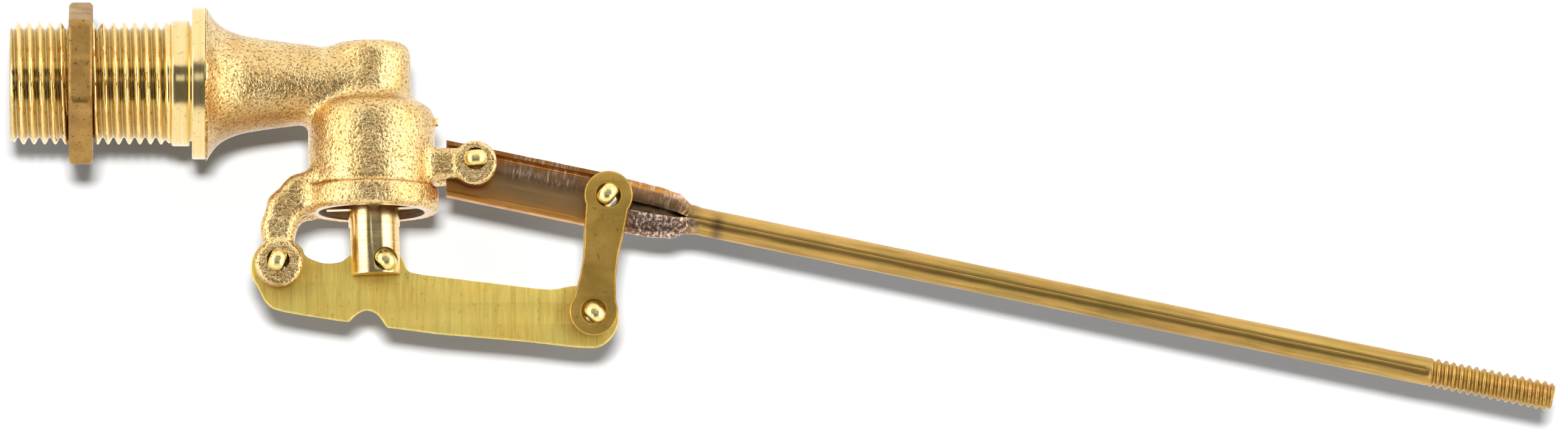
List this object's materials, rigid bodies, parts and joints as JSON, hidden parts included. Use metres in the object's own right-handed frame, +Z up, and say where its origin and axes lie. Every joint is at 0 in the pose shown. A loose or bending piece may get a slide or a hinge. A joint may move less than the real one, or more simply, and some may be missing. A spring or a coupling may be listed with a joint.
{
  "type": "float valve",
  "caption": "Brass bottom-outlet float valve with threaded inlet, flange, backnut, compound levers and a rolled float arm with a threaded tip.",
  "frame": {"origin": "centre of the flange's wall-side face, on the inlet axis", "axes": "+X along the inlet axis from the tank wall towards the float arm, +Z up, +Y towards the back"},
  "size_m": [0.2653, 0.0272, 0.0715],
  "materials": {
    "cast_brass": "shot-blasted casting with turned thread, collar, flange and outlet ring",
    "nut_brass": "dull hot-pressed brass",
    "turned_brass": "bright turned brass",
    "sheet_brass": "brushed brass plate",
    "link_brass": "satin olive brass with bright edges",
    "arm_brass": "heat-browned rolled brass strip",
    "pin_brass": "polished yellow brass",
    "washer_rubber": "black rubber"
  },
  "bodies": {
    "body": {"valve_body": "cast_brass", "fulcrum_pin": "pin_brass", "arm_pivot_pin": "pin_brass"},
    "backnut": {"locknut": "nut_brass"},
    "arm": {"float_arm": "arm_brass", "upper_link_pin": "pin_brass"},
    "links": {"front_link": "link_brass", "rear_link": "link_brass"},
    "lever": {"lever_plate": "sheet_brass", "lower_link_pin": "pin_brass"},
    "plunger": {"piston": "turned_brass", "piston_washer": "washer_rubber", "washer_screw": "turned_brass", "piston_pin": "pin_brass"}
  },
  "joints": [
    {"name": "arm_swing", "type": "hinge", "parent": "body", "child": "arm", "pos_m": [0.0487, 0, -0.0147], "axis": [0, -1, 0], "range_deg": [-12, 12]},
    {"name": "link_swing", "type": "hinge", "parent": "arm", "child": "links", "pos_m": [0.0714, 0, -0.0199], "axis": [0, -1, 0], "range_deg": [-14, 14]},
    {"name": "lever_swing", "type": "hinge", "parent": "body", "child": "lever", "pos_m": [0.0151, 0, -0.0321], "axis": [0, -1, 0], "range_deg": [-6, 6]},
    {"name": "piston_lift", "type": "slide", "parent": "body", "child": "plunger", "axis": [0, 0, 1], "range_m": [-0.00156, 0.00156]},
    {"name": "backnut_travel", "type": "slide", "parent": "body", "child": "backnut", "axis": [1, 0, 0], "range_m": [-0.00907, 0.0127]}
  ],
  "couplings": [
    {"joint": "link_swing", "follows": "arm_swing", "ratio": -1.0895},
    {"joint": "lever_swing", "follows": "arm_swing", "ratio": 0.4251},
    {"joint": "piston_lift", "follows": "arm_swing", "m_per_rad": 0.00739}
  ]
}
